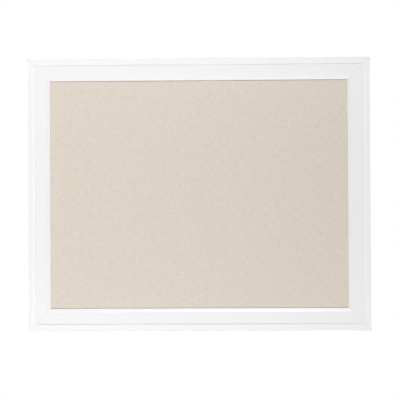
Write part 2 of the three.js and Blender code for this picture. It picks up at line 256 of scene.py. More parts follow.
def rounded(points, radii, closed=True):
    """A flat line with round corners. Each corner becomes an arc about the point that lies its radius away
    from both sides, drawn from one tangent point to the other, with a short straight before and after it."""
    points, radii = np.array(points, float), np.array(radii, float)
    before, after, ends = np.roll(points, 1, 0), np.roll(points, -1, 0), points[[0, -1]]
    if not closed:
        before, points, after = before[1:-1], points[1:-1], after[1:-1]
    towards, onwards = unit(before - points), unit(after - points)
    half = np.arccos(np.sum(towards * onwards, -1)) / 2
    reach = (radii / np.tan(half))[:, None]
    centre = points + unit(towards + onwards) * (radii / np.sin(half))[:, None]
    start = points + towards * reach - centre
    stop = points + onwards * reach - centre
    begin = np.arctan2(start[:, 1], start[:, 0])
    turn = (np.arctan2(stop[:, 1], stop[:, 0]) - begin + np.pi) % (2 * np.pi) - np.pi
    angle = begin[:, None] + turn[:, None] * np.linspace(0, 1, ARC_STEPS + 1)
    arc = centre[:, None] + radii[:, None, None] * on_circle(angle)
    first = points + towards * (reach + HOLD)
    last = points + onwards * (reach + HOLD)
    line = np.concatenate([first[:, None], arc, last[:, None]], 1).reshape(-1, 2)
    return line if closed else np.concatenate([ends[:1], line, ends[1:]])


def turned(points, quarters):
    """Points turned about the board's depth axis by quarter turns, clockwise seen from the front."""
    c, s = ((1, 0), (0, 1), (-1, 0), (0, -1))[quarters]
    x, y, z = np.moveaxis(points, -1, 0)
    return combine(c * x + s * z, y, c * z - s * x)


def four_sides(half_width, half_height):
    """The sides of a rectangle, clockwise from the top: quarter turns, half the length of the side, and half
    the distance to the side across."""
    level, upright = (half_width, half_height), (half_height, half_width)
    return [(quarters, *(upright if quarters % 2 else level)) for quarters in range(4)]


def lathe(radius, height, angle):
    """Points turned about the depth axis: x = r cos a, y = height, z = r sin a."""
    return combine(radius * np.cos(angle), height, radius * np.sin(angle))


def flat_face(half_width, half_height, y, columns, rows):
    """A flat rectangle facing along Y: x and z step evenly between minus and plus the half sizes."""
    x = np.linspace(-half_width, half_width, columns + 1)
    z = np.linspace(-half_height, half_height, rows + 1)
    return combine(x, y, z[:, None])


def edge_band(half_along, half_out, path, steps, trim=0.0):
    """A path of (outward, y) carried along one side of a rectangle. At every point of the path the rectangle
    grows by the outward distance, so that neighbouring bands meet on the mitre; trim shortens both ends."""
    outward, y = path[:, :1], path[:, 1:]
    place = np.linspace(-1, 1, steps + 1)
    x = place * (half_along + outward - np.reshape(trim, (-1, 1)))
    return combine(x, y, half_out + outward)


def make_piece(name, grids, finish, lay=None, bare=None, capped=False, crease=30):
    """A mesh from grids of points. Neighbouring points of a grid make quads, grids that share an edge are
    merged along it, open ends are capped if asked, and the faces are turned outwards. lay holds a flat
    coordinate for each point, and bare how far in from the painted edge it lies."""
    first, quads = 0, []
    for grid in grids:
        rows, columns = grid.shape[:2]
        corner = first + np.arange(rows - 1)[:, None] * columns + np.arange(columns - 1)
        quad = combine(corner, corner + 1, corner + columns + 1, corner + columns)
        quads.append(quad.reshape(-1, 4))
        first += rows * columns
    points = np.concatenate([grid.reshape(-1, 3) for grid in grids])
    quads = np.concatenate(quads)
    mesh = bpy.data.meshes.new(name)
    mesh.from_pydata(points, [], quads)
    if lay is not None:
        flat = np.concatenate([coordinates.reshape(-1, 2) for coordinates in lay])
        mesh.uv_layers.new(name="lay").data.foreach_set("uv", flat[quads.ravel()].ravel())
    if bare is not None:
        values = np.concatenate([value.ravel() for value in bare])
        mesh.attributes.new("bare", "FLOAT", "POINT").data.foreach_set("value", values)
    shell = bmesh.new()
    shell.from_mesh(mesh)
    bmesh.ops.remove_doubles(shell, verts=shell.verts, dist=MERGE)
    if capped:
        bmesh.ops.holes_fill(shell, edges=shell.edges, sides=0)
    bmesh.ops.recalc_face_normals(shell, faces=shell.faces)
    shell.to_mesh(mesh)
    shell.free()
    mesh.polygons.foreach_set("use_smooth", np.ones(len(mesh.polygons), bool))
    mesh.set_sharp_from_angle(angle=math.radians(crease))
    mesh.materials.append(finish)
    piece = bpy.data.objects.new(name, mesh)
    bpy.context.scene.collection.objects.link(piece)
    return piece


def fit(piece, body, slot, *nodes):
    """The piece moves with a body and stands for the CAD nodes, which it hides. The slot is not used."""
    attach(piece, body)
    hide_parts(*nodes)


# Finishes


def add_node(tree, kind, inputs=(), **settings):
    """Adds a shader node with its settings. Inputs are listed in order, or given by name or number. Each is a
    value, an output that it is linked from, or a node, which stands for its first output in use."""
    node = tree.nodes.new("ShaderNode" + kind)
    for name, value in settings.items():
        setattr(node, name, value)
    for name, value in inputs.items() if isinstance(inputs, dict) else enumerate(inputs):
        if isinstance(value, bpy.types.Node):
            value = next(output for output in value.outputs if output.enabled)
        if isinstance(value, bpy.types.NodeSocket):
            tree.links.new(value, node.inputs[name])
        else:
            node.inputs[name].default_value = value
    return node


def new_finish(name):
    """An empty material, and the function that adds nodes to it."""
    finish = bpy.data.materials.new(name)
    finish.use_nodes = True
    finish.node_tree.nodes.clear()
    return finish, partial(add_node, finish.node_tree)


def per(millimetres):
    """Pattern scale, in repeats to the metre, for a feature of this size."""
    return 1 / (millimetres * MM)


def rgba(tone, factor=1.0):
    """A colour, lightened or darkened by the factor, as a colour socket takes it."""
    return (*(Vector(tone) * factor), 1.0)


def drawn_noise(add, vector, size, inputs, shift=(0, 0, 0), **settings):
    """Noise drawn out to a size in millimetres in each direction."""
    scale = [per(each) for each in size] + [1.0] * (3 - len(size))
    drawn = add("Mapping", {"Vector": vector, "Scale": scale, "Location": shift})
    return add("TexNoise", {"Vector": drawn, "Scale": 1.0, **inputs}, **settings)


def blend(add, value, low, high, first, second, most=1.0):
    """One colour that turns into another, up to the largest share, while the value runs from low to high."""
    amount = add("MapRange", {"Value": value, "From Min": low, "From Max": high, "To Max": most})
    return add("Mix", {0: amount, 6: first, 7: second}, data_type="RGBA")


def coat(add, height, strength, depth, inputs):
    """The shader of a finish with its relief, as deep as the millimetres given, joined to the output."""
    relief = add("Bump", {"Height": height, "Strength": strength, "Distance": depth * MM})
    shader = add("BsdfPrincipled", {"Normal": relief, **inputs})
    add("OutputMaterial", {"Surface": shader})


def white_paint(settings):
    """Satin paint sprayed on sanded pine: an even white with a broad soft highlight and a faint orange peel.
    The back is left bare, with the paint drifting over its edge, and shows the grain along the rail."""
    finish, add = new_finish("satin white paint on pine")
    place = add("TexCoord").outputs["Object"]
    lay = add("UVMap", uv_map="lay")
    bare = add("Attribute", attribute_name="bare").outputs["Fac"]
    # Orange peel of sprayed paint is 1 to 3 mm across; film thickness drifts over a hand's breadth
    peel = add("TexNoise", {"Vector": place, "Scale": per(2.0), "Detail": 2.0})
    film = add("TexNoise", {"Vector": place, "Scale": per(70), "Detail": 2.0})
    paint = blend(add, film, 0.3, 0.7, rgba(settings.paint), rgba(settings.paint, 0.965), most=0.3)
    # Overspray reaches about 2 to 4 mm of the 40 mm wide back, and thins out in fine specks
    ragged = add("TexNoise", {"Vector": place, "Scale": per(9), "Detail": 8.0, "Roughness": 0.8})
    drift = add("Math", [ragged, 0.2, bare], operation="MULTIPLY_ADD")
    open_wood = add("MapRange", {"Value": drift, "From Min": 0.12, "From Max": 0.21},
                    interpolation_type="SMOOTHSTEP")
    # Growth rings of quarter-sawn pine, about 2 mm apart and drawn out along the rail, and finer pores
    rings = drawn_noise(add, lay, (180, 2.2), {"Detail": 3.0, "Distortion": 0.4})
    pore = drawn_noise(add, lay, (9, 0.35), {"Detail": 2.0})
    wood = blend(add, rings, 0.35, 0.7, rgba(settings.wood), rgba(settings.grain))
    pored = add("Mix", {0: pore, 6: wood, 7: rgba(settings.wood, 0.8)}, data_type="RGBA",
                blend_type="MULTIPLY")
    base = add("Mix", {0: open_wood, 6: paint, 7: pored}, data_type="RGBA")
    rough = add("MapRange", {"Value": open_wood, "To Min": 0.27, "To Max": 0.75})
    tooth = add("Mix", {0: open_wood, 2: peel, 3: pore})
    coat(add, tooth, 0.12, 0.06, {"Base Color": base, "Roughness": rough, "IOR": 1.48})
    return finish


def natural_linen(settings):
    """Undyed flax in plain weave: matt, with threads of uneven thickness. Every thread has its own tone and
    thick, pale or thin, dark stretches, which run as short streaks across and up the cloth, and there are a
    few husk flecks."""
    finish, add = new_finish("natural linen plain weave")
    lay = add("UVMap", uv_map="lay")
    threads = per(settings.thread / MM)
    # Threads waver by about a quarter of their pitch over some 12 mm
    waver = add("TexNoise", {"Vector": lay, "Scale": per(12), "Detail": 2.0}, noise_dimensions="2D")
    swayed = add("VectorMath", [waver.outputs["Color"], (1.1 * settings.thread,) * 3, lay],
                 operation="MULTIPLY_ADD")
    counted = add("Mapping", {"Vector": swayed, "Scale": (threads, threads, 1)})
    split = add("SeparateXYZ", [counted])
    heights, tones, slubs, fibres = [], [], [], []
    for across, along, side in ((0, 1, 1), (1, 0, -1)):
        # Threads of one direction. Across a thread its back is half a sine wave, raised to a power that makes
        # thick and thin threads; along it a sine wave carries it over and under its neighbours in turn
        number = add("Math", [split.outputs[across]], operation="FLOOR")
        place = add("Math", [split.outputs[across], number], operation="SUBTRACT")
        half_turn = add("Math", [place, math.pi], operation="MULTIPLY")
        swell = add("Math", [half_turn], operation="SINE")
        tone = add("TexWhiteNoise", {"W": number}, noise_dimensions="1D")
        thin = add("MapRange", {"Value": tone, "To Min": 0.3, "To Max": 0.8})
        back = add("Math", [swell, thin], operation="POWER")
        phase = add("Math", [split.outputs[along], number], operation="ADD")
        turn = add("Math", [phase, math.pi], operation="MULTIPLY")
        wave = add("Math", [turn], operation="SINE")
        heights.append(add("Math", [wave, 0.8 * side, back], operation="MULTIPLY_ADD"))
        tones.append(tone)
        # Real slubs are about 1 mm wide; they are drawn 4 mm wide so that they show at the photo's scale
        slubs.append(drawn_noise(add, lay, (4, 13)[::side], {"Detail": 2.0}, (across * 7.3, 3.1, 0)))
        # Flax fibres along the thread are about 0.02 mm wide; they are drawn 0.12 mm wide to show close up
        fibres.append(drawn_noise(add, swayed, (0.12, 2.5)[::side], {"Detail": 1.0}, noise_dimensions="2D"))
    # Plain weave: the two directions take turns on top, and the higher one is seen
    upper = add("Math", heights[::-1], operation="GREATER_THAN")
    crown = add("Math", heights, operation="MAXIMUM")
    fibre = add("Mix", {0: upper, 2: fibres[0], 3: fibres[1]})
    height = add("Math", [fibre, 1.2, crown], operation="MULTIPLY_ADD")
    thread = add("Mix", {0: upper, 2: tones[0], 3: tones[1]})
    slubby = add("Math", slubs, operation="ADD")
    uneven = add("Math", [thread, 0.4, slubby], operation="MULTIPLY_ADD")
    # Weft yarns differ in tint, yellower or pinker for a finger's breadth at a time
    dye = drawn_noise(add, lay, (34, 5), {"Detail": 2.0})
    cloth = blend(add, dye, 0.3, 0.7, rgba(settings.flax), rgba(settings.straw))
    cloth = blend(add, uneven, 1.2, 1.84, cloth, rgba(settings.pale), most=0.65)
    cloth = blend(add, uneven, 1.2, 0.64, cloth, rgba(settings.dark), most=0.65)
    # Husk flecks, 1 to 3 mm long and sparse
    speck = drawn_noise(add, lay, (4.5, 3.5), {"Detail": 1.0})
    cloth = blend(add, speck, 0.72, 0.8, cloth, rgba(settings.fleck), most=0.3)
    # The gaps between the threads lie in shade
    shade = add("MapRange", {"Value": height, "From Min": 0.6, "From Max": 2.4, "To Min": 0.64,
                             "To Max": 1.03})
    cloth = add("VectorMath", {0: cloth, 3: shade}, operation="SCALE")
    coat(add, height, 0.7, 0.14,
         {"Base Color": cloth, "Roughness": 0.92, "IOR": 1.46, "Specular IOR Level": 0.25})
    return finish


def hardboard(settings):
    """Wet-pressed hardboard: brown, matted fibres under a dull pressed skin, with the print of the wire
    screen that it was pressed on."""
    finish, add = new_finish("brown hardboard")
    place = add("TexCoord").outputs["Object"]
    # Fibre clumps are 1 to 3 mm long; single fibres about 0.2 mm
    clumps = add("TexNoise", {"Vector": place, "Scale": per(1.8), "Detail": 4.0, "Roughness": 0.75,
                              "Distortion": 1.5})
    broad = add("TexNoise", {"Vector": place, "Scale": per(16), "Detail": 4.0, "Roughness": 0.7})
    mixed = add("Math", [broad, 0.5, clumps], operation="MULTIPLY_ADD")
    base = blend(add, mixed, 0.55, 0.95, rgba(settings.hardboard), rgba(settings.fibre))
    # The screen's wires are about 1.8 mm apart, crossing at right angles
    scaled = add("VectorMath", [place, (2 * math.pi * per(1.8),) * 3], operation="MULTIPLY")
    split = add("SeparateXYZ", [scaled])
    wires = [add("Math", [split.outputs[axis]], operation="SINE") for axis in ("X", "Z")]
    screen = add("Math", wires, operation="MULTIPLY")
    skin = add("Math", [screen, 0.25, clumps], operation="MULTIPLY_ADD")
    coat(add, skin, 0.5, 0.12, {"Base Color": base, "Roughness": 0.7, "IOR": 1.5})
    return finish


def softboard(settings):
    """Pressed soft fibre: a loose felt of pale wood fibres, quite matt."""
    finish, add = new_finish("soft fibre board")
    place = add("TexCoord").outputs["Object"]
    # Tufts of felted fibre are about 3 mm across
    felt = add("TexNoise", {"Vector": place, "Scale": per(3), "Detail": 6.0, "Roughness": 0.7})
    base = blend(add, felt, 0, 1, rgba(settings.softboard), rgba(settings.softboard, 0.6))
    coat(add, felt, 0.6, 0.3, {"Base Color": base, "Roughness": 0.95})
    return finish


def plated_metal(name, bright, dull, roughness, patch_size):
    """Cold-rolled steel: bright zinc plate shows soft cloudy patches, and plain spring steel the fine rolling
    lines along the strip. patch_size is the size of a patch in the three directions, in millimetres."""
    finish, add = new_finish(name)
    place = add("TexCoord").outputs["Object"]
    cloud = drawn_noise(add, place, patch_size, {"Detail": 4.0})
    base = blend(add, cloud, 0.3, 0.7, bright, dull)
    rough = add("MapRange", {"Value": cloud, "From Min": 0.3, "From Max": 0.7, "To Min": roughness - 0.06,
                             "To Max": roughness + 0.1})
    coat(add, cloud, 0.1, 0.03, {"Base Color": base, "Metallic": 1.0, "Roughness": rough})
    return finish


def moulded_rubber(settings):
    """Moulded rubber: dull dark grey, with a fine matt tooth from the mould and a little dust."""
    finish, add = new_finish("dark moulded rubber")
    place = add("TexCoord").outputs["Object"]
    # The mould's tooth is about 0.4 mm; dust gathers in spots of a few millimetres
    tooth = add("TexNoise", {"Vector": place, "Scale": per(0.4), "Detail": 3.0})
    dust = add("TexNoise", {"Vector": place, "Scale": per(3), "Detail": 4.0})
    base = blend(add, dust, 0.45, 0.75, rgba(settings.rubber), rgba(settings.rubber, 1.8), most=0.35)
    coat(add, tooth, 0.3, 0.05, {"Base Color": base, "Roughness": 0.7, "IOR": 1.52})
    return finish


# Pieces


class MEMOBOARD_OT_moulding(Operator):
    """Four mitred rails of the white moulding"""

    bl_idname = "memo_board.moulding"
    bl_label = "Moulding"

    def execute(self, context):
        sizes = context.scene.memo_board.moulding
        finish = white_paint(sizes)
        outline = self.section(sizes)
        nodes = ("top_rail", "right_stile", "bottom_rail", "left_stile")
        for quarters, half_along, half_out in four_sides(sizes.board_width / 2, sizes.board_height / 2):
            grid, lay, bare = self.rail(sizes, outline, half_along, half_out)
            piece = make_piece("moulding_" + SIDES[quarters], [turned(grid, quarters)], finish, [lay], [bare],
                               capped=True)
            fit(piece, "board", "white_paint", nodes[quarters])
        return {"FINISHED"}

    def section(self, sizes):
        """Outline of the moulding in (distance in from the outer edge, height above the back plane): from the
        back over the rabbet, round the lip, across the main face, down a step into the quirk and over the
        outer band."""
        wall = sizes.width - sizes.rabbet_width
        lip_edge = sizes.depth - sizes.lip_drop
        shelf = lip_edge - sizes.sight_edge
        lip_start = sizes.width - sizes.lip_width
        band = sizes.depth - sizes.band_drop
        quirk_edge = sizes.band_width - sizes.quirk_width
        quirk = band - sizes.quirk_depth
        inner_corner, quirk_corner = 0.3 * MM, 0.15 * MM
        corners = (
            (0, 0, sizes.back_edge),
            (wall, 0, sizes.back_edge),
            (wall, shelf, inner_corner),
            (sizes.width, shelf, sizes.back_edge),
            (sizes.width, lip_edge, sizes.lip_edge),
            (lip_start, sizes.depth, sizes.lip_edge),
            (sizes.band_width, sizes.depth, sizes.step_edge),
            (sizes.band_width, quirk, quirk_corner),
            (quirk_edge, quirk, quirk_corner),
            (quirk_edge, band, quirk_corner),
            (0, band, sizes.outer_edge),
        )
        return rounded([corner[:2] for corner in corners], [corner[2] for corner in corners])

    def rail(self, sizes, outline, half_along, half_out):
        """The section carried along one side: x = share of (half length - distance in), so that the ends are
        mitred. Close to the mitre the section shrinks along a quarter circle, which rounds the rail's end."""
        ahead = np.roll(outline, -1, 0) - np.roll(outline, 1, 0)
        inward = unit(combine(-ahead[:, 1], ahead[:, 0]))
        turn = np.linspace(0, np.pi / 2, ARC_STEPS)
        short = np.append(sizes.arris * (1 - np.cos(turn)), sizes.arris + HOLD)
        inset = np.append(sizes.arris * (1 - np.sin(turn)), 0)
        middle = np.linspace(-1, 1, RAIL_STEPS + 1)[1:-1]
        place = np.concatenate([-np.ones_like(short), middle, np.ones_like(short)])
        short = np.concatenate([short, np.full_like(middle, short[-1]), short[::-1]])
        inset = np.concatenate([inset, np.zeros_like(middle), inset[::-1]])
        carried = looped(outline) + inset[:, None, None] * looped(inward)
        distance_in, height = carried[..., 0], carried[..., 1]
        x = place[:, None] * (half_along - sizes.seam - short[:, None] - distance_in)
        grid = combine(x, BACK_PLANE - height, half_out - distance_in)
        lay = combine(x, distance_along(looped(outline)))
        # How bare each corner of the section is: the back runs from 0 at the outer edge to 1 at the rabbet,
        # its shelf back to nearly 0, and the faces are painted. A round corner is an arc and two flats
        corner_points = ARC_STEPS + 3
        bareness = [0, 1, 1, 0.3] + [0] * (len(outline) // corner_points - 4)
        bare = np.repeat(bareness, corner_points).astype(float)
        return grid, lay, np.broadcast_to(looped(bare), x.shape)


class MEMOBOARD_OT_linen(Operator):
    """Linen stretched over the pin panel, turned over its edges and hemmed behind"""

    bl_idname = "memo_board.linen"
    bl_label = "Linen cover"

    def execute(self, context):
        sizes = context.scene.memo_board.linen
        low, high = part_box("linen_cover")
        half_width, half_height = high.x, high.z
        flat_end = 2 * sizes.bend
        corners = [(-flat_end, low.y), (0, low.y), (0, high.y), (-sizes.hem, high.y)]
        path = rounded(corners, [sizes.bend] * 2, closed=False)
        run = distance_along(path)
        # Past the bend the hem's ends draw in from the mitre until the slit between two hems is open
        tolerance, draw_in = 0.01 * MM, 0.3
        on_back = path[:, 1] > high.y - tolerance
        past_bend = np.where(on_back, -path[:, 0] - sizes.bend, 0)
        trim = np.minimum(draw_in * np.maximum(past_bend, 0), sizes.slit)
        columns, rows = 96, 74
        face = flat_face(half_width - flat_end, half_height - flat_end, low.y, columns, rows)
        grids, lays = [face], [face[..., [0, 2]]]
        for quarters, half_along, half_out in four_sides(half_width, half_height):
            band = edge_band(half_along, half_out, path, rows if quarters % 2 else columns, trim)
            flat = band.copy()
            flat[..., 2] = half_out - flat_end + run[:, None]
            grids.append(turned(band, quarters))
            lays.append(turned(flat, quarters)[..., [0, 2]])
        piece = make_piece("linen_cover_cloth", grids, natural_linen(sizes), lays)
        wall = piece.modifiers.new("cloth thickness", "SOLIDIFY")
        wall.thickness = sizes.thickness
        wall.offset = -1
        fit(piece, "board", "linen", "linen_cover")
        return {"FINISHED"}


class MEMOBOARD_OT_panels(Operator):
    """Backing board behind the linen, and the finish of the pin panel inside it"""

    bl_idname = "memo_board.panels"
    bl_label = "Panels"

    def execute(self, context):
        sizes = context.scene.memo_board.linen
        low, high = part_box("backing_board")
        half_width, half_height = high.x, high.z
        flat_end = 4 * sizes.board_edge
        corners = [(-flat_end, low.y), (0, low.y), (0, high.y), (-flat_end, high.y)]
        path = rounded(corners, [sizes.board_edge] * 2, closed=False)
        columns, rows = 32, 24
        grids = [flat_face(half_width - flat_end, half_height - flat_end, y, columns, rows)
                 for y in (low.y, high.y)]
        for quarters, half_along, half_out in four_sides(half_width, half_height):
            band = edge_band(half_along, half_out, path, rows if quarters % 2 else columns)
            grids.append(turned(band, quarters))
        piece = make_piece("backing_board_plate", grids, hardboard(sizes))
        fit(piece, "board", "hardboard", "backing_board")
        panel = frame["nodes"]["pin_panel"]
        panel.data.materials.clear()
        panel.data.materials.append(softboard(sizes))
        return {"FINISHED"}


class MEMOBOARD_OT_framing_points(Operator):
    """Flat steel points driven into the rabbet wall, pressing on the backing board"""

    bl_idname = "memo_board.framing_points"
    bl_label = "Framing points"

    def execute(self, context):
        sizes = context.scene.memo_board.hardware
        finish = plated_metal("rolled spring steel", rgba(sizes.steel), rgba(sizes.steel, 0.72), 0.34,
                              (6, 6, 0.5))
        blade = self.blade(sizes)
        for quarters, (side, count) in enumerate(zip(SIDES, (4, 3, 4, 3))):
            for number in range(1, count + 1):
                node = f"framing_point_{side}_{number}"
                low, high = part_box(node)
                # Place along the rail and the rabbet wall, taken from the node turned back to the top side
                middle = turned(np.array((low + high) / 2), -quarters % 4)
                wall = middle[2] + sizes.point_length / 2 - sizes.point_bite
                grid = blade + np.array([middle[0], high.y, wall])
                piece = make_piece(node + "_blade", [turned(grid, quarters)], finish, capped=True)
                fit(piece, "board", "steel", node)
        return {"FINISHED"}

    def blade(self, sizes):
        """A thin rounded section carried from the sharp tip to the free end, with its half width growing
        along the tip and shrinking along a quarter circle at the free end, where the blade bends up for a
        fingertip. Just past the wall it is pressed down onto the board."""
        half, thick = sizes.point_width / 2, sizes.point_thickness
        tip_half, corner, edge = 0.25 * MM, 1.2 * MM, 0.12 * MM
        pressed, press_end, lifted, lift_start = 0.28 * MM, 3 * MM, 0.95 * MM, 4 * MM
        end = sizes.point_length - sizes.point_bite
        turn = np.linspace(0, np.pi / 2, ARC_STEPS)[1:]
        tip = np.array([0, 0.5, 1]) * sizes.point_tip - sizes.point_bite
        straight = np.linspace(tip[-1], end - corner, 12)[1:]
        along = np.concatenate([tip, straight, end - corner + corner * np.sin(turn)])
        width = np.concatenate([[tip_half, half / 2, half], np.full_like(straight, half),
                                half - corner * (1 - np.cos(turn))])
        bend = lifted * smooth_step(along, lift_start, end) - pressed * smooth_step(along, 0, press_end)
        loop = looped(rounded([(-1, 0), (1, 0), (1, -thick), (-1, -thick)], [edge] * 4))
        x = np.sign(loop[:, 0]) * (width[:, None] - 1) + loop[:, 0]
        y = loop[:, 1] + bend[:, None]
        return combine(x, y, -along[:, None])


class MEMOBOARD_OT_corner_nails(Operator):
    """V-shaped corner nails driven across the mitres from the back"""

    bl_idname = "memo_board.corner_nails"
    bl_label = "Corner nails"

    def execute(self, context):
        board, sizes = context.scene.memo_board.moulding, context.scene.memo_board.hardware
        finish = plated_metal("blank corner nail steel", rgba(sizes.steel), rgba(sizes.steel, 0.8), 0.4,
                              (3, 0.4, 3))
        corner = np.array([board.board_width / 2, 0, board.board_height / 2])
        for height, side_z in (("top", 1), ("bottom", -1)):
            for hand, side_x in HANDS.items():
                for row, place in (("outer", sizes.nail_outer), ("inner", sizes.nail_inner)):
                    node = f"corner_nail_{height}_{hand}_{row}"
                    nail = self.nail(sizes, place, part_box(node)[0].y)
                    grid = (corner + nail * (-1, 1, -1)) * (side_x, 1, side_z)
                    piece = make_piece(node + "_strip", [grid], finish, capped=True)
                    fit(piece, "board", "steel", node)
        return {"FINISHED"}

    def nail(self, sizes, place, front):
        """A flat section carried along two wings at a right angle: across the strip it is as thick as the
        sheet, and it runs from deep in the wood to just proud of the back plane. Both wings run in from the
        corner."""
        half, bend, edge, proud = sizes.nail_thickness / 2, 0.5 * MM, 0.12 * MM, 0.04 * MM
        middle = place + half
        wing = place + sizes.nail_wing
        path = rounded([(wing, middle), (middle, middle), (middle, wing)], [bend], closed=False)
        ahead = unit(np.gradient(path, axis=0))
        across = combine(-ahead[:, 1], ahead[:, 0])
        back = BACK_PLANE + proud
        loop = looped(rounded([(-half, front), (half, front), (half, back), (-half, back)], [edge] * 4))
        flat = path[:, None] + across[:, None] * loop[:, :1]
        return combine(flat[..., 0], loop[:, 1], flat[..., 1])


class MEMOBOARD_OT_hangers(Operator):
    """Two hangers, each a folded strap with a swinging ring and a pan-head screw"""

    bl_idname = "memo_board.hangers"
    bl_label = "Ring hangers"

    def execute(self, context):
        sizes = context.scene.memo_board.hardware
        finish = plated_metal("bright zinc plate", rgba(sizes.zinc), rgba(sizes.zinc_cloud), 0.3, (4, 4, 4))
        joints = {joint["child"]: joint for joint in frame["joints"]}
        for hand in HANDS:
            pivot = np.array(joints[hand + "_ring"]["pos_m"])
            strap = make_piece(hand + "_strap_strip", [grid + pivot for grid in self.strap(sizes)], finish)
            wall = strap.modifiers.new("strip thickness", "SOLIDIFY")
            wall.thickness, wall.offset, wall.use_even_offset = sizes.strap_thickness, 0, True
            edge = strap.modifiers.new("broken edge", "BEVEL")
            edge.width, edge.segments, edge.limit_method = 0.14 * MM, 2, "ANGLE"
            edge.harden_normals = True
            fit(strap, "board", "zinc_plate", hand + "_hanger_strap")
            ring = make_piece(hand + "_ring_wire", [self.ring(sizes, pivot[1] - BACK_PLANE) + pivot], finish)
            fit(ring, hand + "_ring", "zinc_plate", hand + "_hanger_ring")
            low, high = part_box(hand + "_hanger_screw")
            place = np.array([pivot[0], high.y, pivot[2] - sizes.screw_place])
            grids = [grid + place for grid in self.screw(sizes, low.y - high.y)]
            screw = make_piece(hand + "_screw_pan_head", grids, finish, crease=40)
            fit(screw, "board", "zinc_plate", hand + "_hanger_screw")
        return {"FINISHED"}

    def strap(self, sizes):
        """One strip folded double. Its middle runs up the lower leaf, round the eye, through a small reverse
        bend and down the upper leaf; a point of the flat strip keeps its place across and goes to the same
        length along that path. Both leaves end in a ring of points round the screw hole."""
        thick, half = sizes.strap_thickness, sizes.strap_width / 2
        leaf_gap, neck, above_hole = 0.15 * MM, 1.0 * MM, 1.2 * MM
        eye = sizes.wire + SEAT_GAP + thick / 2
        lower = -eye
        upper = lower + thick + leaf_gap
        neck_z = -math.sqrt((eye + neck) ** 2 - (upper + neck) ** 2)
        leave = math.atan2(upper + neck, neck_z)
        path = np.concatenate([
            [(-sizes.strap_length, lower)],
            eye * on_circle(np.linspace(-np.pi / 2, leave, 40)),
            (neck_z, upper + neck) + neck * on_circle(np.linspace(leave - np.pi, -np.pi / 2, 10)),
            [(-sizes.strap_length, upper)],
        ])
        run = distance_along(path)
        # The flat leaf, measured from its round end: its rim, and the hole drawn out to it
        hole_at = sizes.strap_length - sizes.screw_place
        leaf = hole_at + half + above_hole
        across = np.linspace(half, -half, 13)
        drop = np.linspace(leaf, half, 6)[1:-1]
        rim = looped(np.concatenate([
            combine(across, leaf),
            combine(-half, drop),
            half * ((0, 1) + on_circle(np.linspace(np.pi, 2 * np.pi, 33))),
            combine(half, drop[::-1]),
        ]))
        centre = np.array([0, hole_at])
        inner = centre + sizes.strap_hole * unit(rim - centre)
        near_leaf = inner + np.linspace(0, 1, 6)[:, None, None] * (rim - inner)
        far_leaf = near_leaf * (1, -1) + (0, run[-1])
        along = np.concatenate([[leaf], run[(run > leaf) & (run < run[-1] - leaf)], [run[-1] - leaf]])
        strip = combine(across, along[:, None])
        return [combine(flat[..., 0], *(np.interp(flat[..., 1], run, path[:, axis]) for axis in (1, 0)))
                for flat in (near_leaf, strip, far_leaf)]

    def ring(self, sizes, pivot_height):
        """Round wire carried along a closed flat loop: a straight bar on the pivot, two small bends and a
        half-round bow. The loop leans towards the stile until the bow all but meets it."""
        half, corner, wire = sizes.ring_half, sizes.ring_corner, sizes.wire
        bar_end = half - corner
        bar = np.linspace(-bar_end, bar_end, 8)[:-1]
        small = np.linspace(-np.pi / 2, 0, 12)
        bow = np.linspace(0, np.pi, 56)[1:-1]
        loop = np.concatenate([
            combine(bar, 0),
            (bar_end, corner) + corner * on_circle(small),
            (0, corner) + half * on_circle(bow),
            (-bar_end, corner) + corner * (on_circle(small[:0:-1]) * (-1, 1)),
        ])
        ahead = unit(np.roll(loop, -1, 0) - np.roll(loop, 1, 0))
        out = looped(combine(ahead[:, 1], -ahead[:, 0]))
        angle = full_turn(20)
        flat = looped(loop)[:, None] + wire * np.cos(angle)[:, None] * out[:, None]
        depth = wire * np.sin(angle)
        lean = math.asin((pivot_height - wire - SEAT_GAP) / (half + corner))
        x, z = flat[..., 0], flat[..., 1]
        return combine(x, depth * math.cos(lean) - z * math.sin(lean),
                       depth * math.sin(lean) + z * math.cos(lean))

    def screw(self, sizes, tip):
        """A turned pan-head screw, measured from the top of its head. The shank's radius adds a ridge that
        winds once round for every pitch, and the head's dome is sunk by a cross of two tapering slots."""
        radius, plain = sizes.screw_head, sizes.screw_shank
        crown, head, seat, recess = 1.25 * MM, 2.2 * MM, 0.28 * MM, 1.15 * MM
        slot_width, slot_end = (0.38 * MM, 0.62 * MM), (1.2 * MM, 2.2 * MM)
        core_drop, core_start = 0.55 * MM, (3.6 * MM, 4.6 * MM)
        ridge_height, ridge_start, ridge_share, point = 0.5 * MM, (4 * MM, 5 * MM), 0.3, 3.5 * MM
        angle = full_turn(72)
        out = np.concatenate([np.linspace(0, 0.9, 34), np.sin(np.linspace(1.12, np.pi / 2, 8))])[:, None]
        dome = crown * (np.sqrt(np.clip(1 - out**2.6, 0, 1)) - 1)
        top = lathe(radius * out, dome, angle)
        x, z = np.abs(top[..., 0]), np.abs(top[..., 2])
        slots = [(1 - smooth_step(across, *slot_width)) * (1 - smooth_step(along, *slot_end))
                 for across, along in ((x, z), (z, x))]
        top[..., 1] -= recess * np.maximum(*slots)
        # A short skirt reaches from the dome down to the strap, and the thread starts below the plain shank
        under = -head - seat
        skirt = np.array([(radius, -crown), (radius, -head), (radius - 0.15 * MM, under), (plain, under)])
        height = np.linspace(under, tip, 120)[:, None]
        wound = (height / sizes.screw_pitch + angle / (2 * np.pi)) % 1
        ridge = np.clip(1 - np.abs(wound - 0.5) / ridge_share, 0, 1) * smooth_step(-height, *ridge_start)
        core = plain - core_drop * smooth_step(-height, *core_start)
        taper = smooth_step(height, tip, tip + point) ** 0.8
        return [top, lathe(skirt[:, :1], skirt[:, 1:], angle),
                lathe((core + ridge_height * ridge) * taper, height, angle)]


